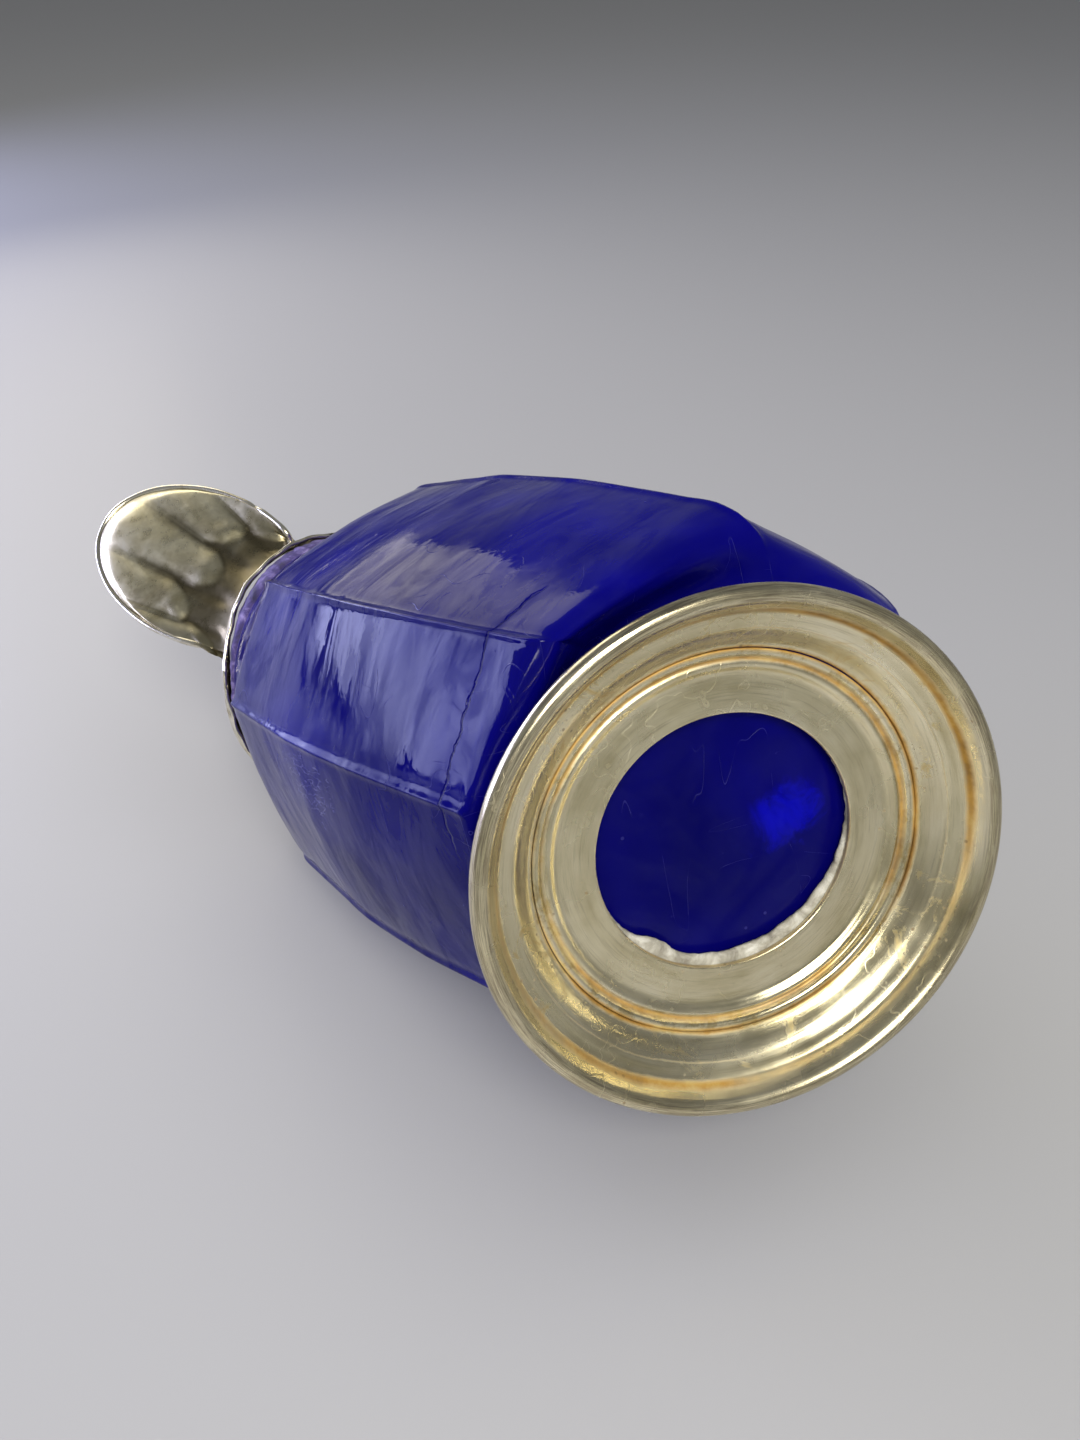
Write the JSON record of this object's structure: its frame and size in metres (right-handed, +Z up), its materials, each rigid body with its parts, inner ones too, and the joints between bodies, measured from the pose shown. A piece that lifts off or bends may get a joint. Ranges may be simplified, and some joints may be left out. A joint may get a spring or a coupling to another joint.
{
  "type": "carafe",
  "caption": "Blue panelled glass carafe leaning on a round metal foot, with a wide neck and a fluted, leaf-shaped metal pouring lip.",
  "frame": {"origin": "middle of the bounding box's underside, on the plane that the foot's rim stands on", "axes": "+Z up, square to the foot; the body leans towards -X and the lip points towards -X and -Y"},
  "size_m": [0.173, 0.114, 0.179],
  "materials": {
    "plated_metal": "worn silver plate, warm, streaked with tarnish",
    "blue_glass": "deep blue, polished, finely scratched",
    "cement": "rough grey setting plaster"
  },
  "bodies": {
    "root": {"foot": "plated_metal", "foot_seat": "plated_metal", "foot_cement": "cement", "glass_body": "blue_glass", "neck_cement": "cement", "neck_sleeve": "plated_metal", "mouth_shell": "plated_metal", "lip_wire": "plated_metal"}
  },
  "joints": []
}
